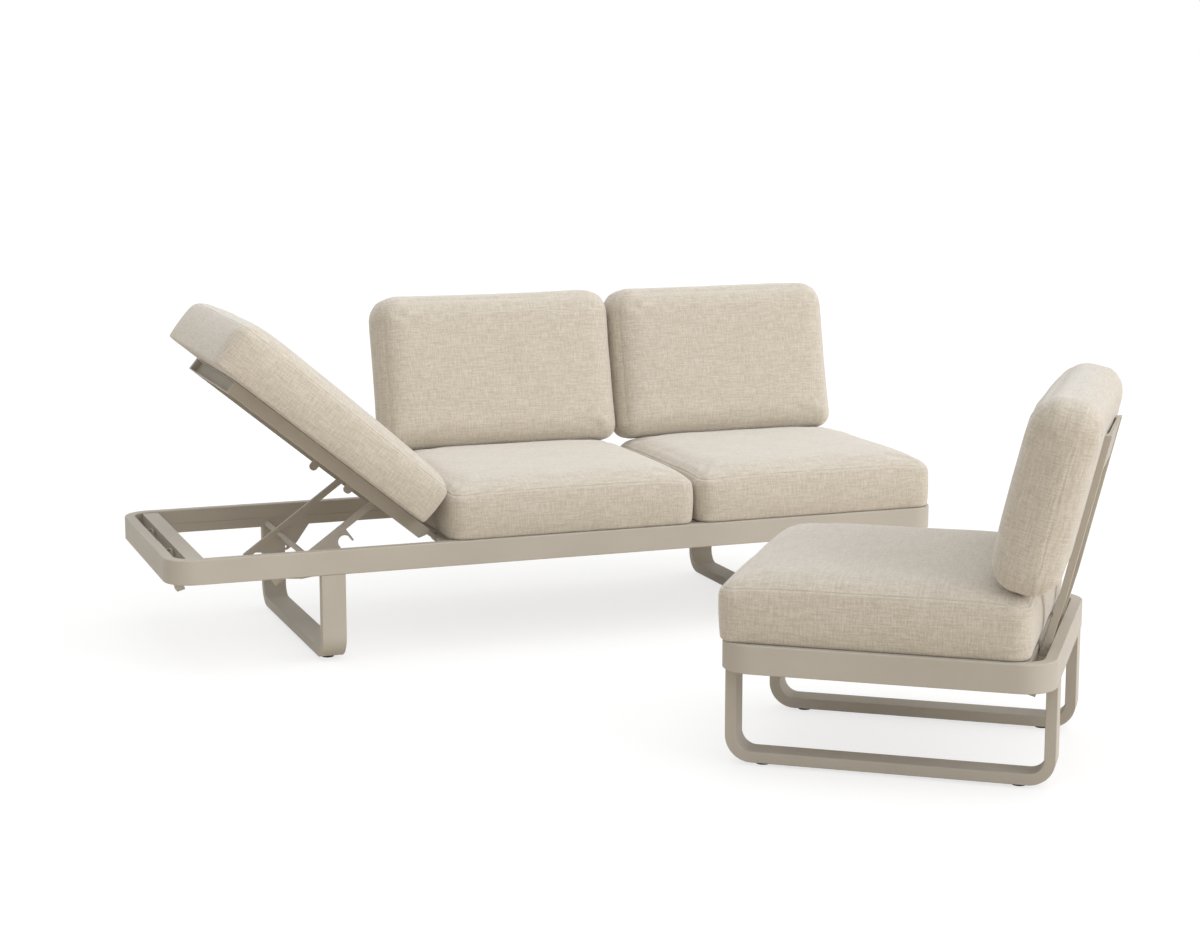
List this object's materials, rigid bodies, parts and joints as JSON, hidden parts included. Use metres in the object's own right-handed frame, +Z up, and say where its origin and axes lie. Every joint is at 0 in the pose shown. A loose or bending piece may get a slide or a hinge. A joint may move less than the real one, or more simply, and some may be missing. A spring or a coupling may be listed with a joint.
{
  "type": "modular garden sofa",
  "caption": "Modular garden sofa with a long module that has a raised reclining place, and a separate single seat, on sleigh legs.",
  "frame": {"origin": "middle of the bounding box of both modules, at the floor", "axes": "+X along the long module from the recliner to its right end, +Y from the seat fronts towards the long module's back cushions, +Z up"},
  "size_m": [2.25, 2.6204, 0.9146],
  "materials": {
    "frame": "satin powder coat, warm grey",
    "fabric": "woven melange outdoor fabric, sand",
    "foot_rubber": "matt black"
  },
  "bodies": {
    "long_module": {"sofa_ring_front_rail": "frame", "sofa_ring_rear_rail": "frame", "sofa_ring_left_end": "frame", "sofa_ring_right_end": "frame", "sofa_leg_left": "frame", "sofa_leg_right": "frame", "sofa_foot_pads": "foot_rubber", "sofa_end_crossbar": "frame", "sofa_end_sockets": "frame", "sofa_hinge_crossbar": "frame", "sofa_slot_crossbar": "frame", "sofa_seat_slats_middle": "frame", "sofa_seat_slats_right": "frame", "sofa_middle_back_sockets": "frame", "sofa_middle_back_upright_left": "frame", "sofa_middle_back_upright_right": "frame", "sofa_middle_back_plate": "frame", "sofa_right_back_sockets": "frame", "sofa_right_back_upright_left": "frame", "sofa_right_back_upright_right": "frame", "sofa_right_back_plate": "frame", "sofa_seat_cushion_middle": "fabric", "sofa_seat_cushion_right": "fabric", "sofa_back_cushion_middle": "fabric", "sofa_back_cushion_right": "fabric", "recliner_hinge_rod": "frame", "stay_pivot_tube": "frame"},
    "recliner_panel": {"recliner_side_rail_near": "frame", "recliner_side_rail_far": "frame", "recliner_hinge_strap_near": "frame", "recliner_hinge_strap_far": "frame", "recliner_head_bar": "frame", "recliner_foot_bar": "frame", "recliner_slats": "frame", "recliner_rest_lugs": "frame", "recliner_cushion": "fabric"},
    "stay": {"stay_arm_near": "frame", "stay_arm_far": "frame", "stay_cross_rod": "frame"},
    "single_seat": {"single_base_ring": "frame", "single_leg_left": "frame", "single_leg_right": "frame", "single_foot_pads": "foot_rubber", "single_slot_crossbar": "frame", "single_seat_slats": "frame", "single_back_sockets": "frame", "single_back_upright_left": "frame", "single_back_upright_right": "frame", "single_back_plate": "frame", "single_seat_cushion": "fabric", "single_back_cushion": "fabric"}
  },
  "joints": [
    {"name": "recliner_tilt", "type": "hinge", "parent": "long_module", "child": "recliner_panel", "pos_m": [-0.359, 0.84399, 0.296], "axis": [0, 1, 0], "range_deg": [-36, 0]},
    {"name": "stay_fold", "type": "hinge", "parent": "long_module", "child": "stay", "pos_m": [-0.704, 0.84399, 0.25], "axis": [0, 1, 0], "range_deg": [0, 42]},
    {"name": "single_seat_shift", "type": "slide", "parent": "long_module", "child": "single_seat", "axis": [0, -1, 0], "range_m": [0, 0.3]}
  ],
  "couplings": [
    {"joint": "stay_fold", "follows": "recliner_tilt", "ratio": -1.15}
  ]
}
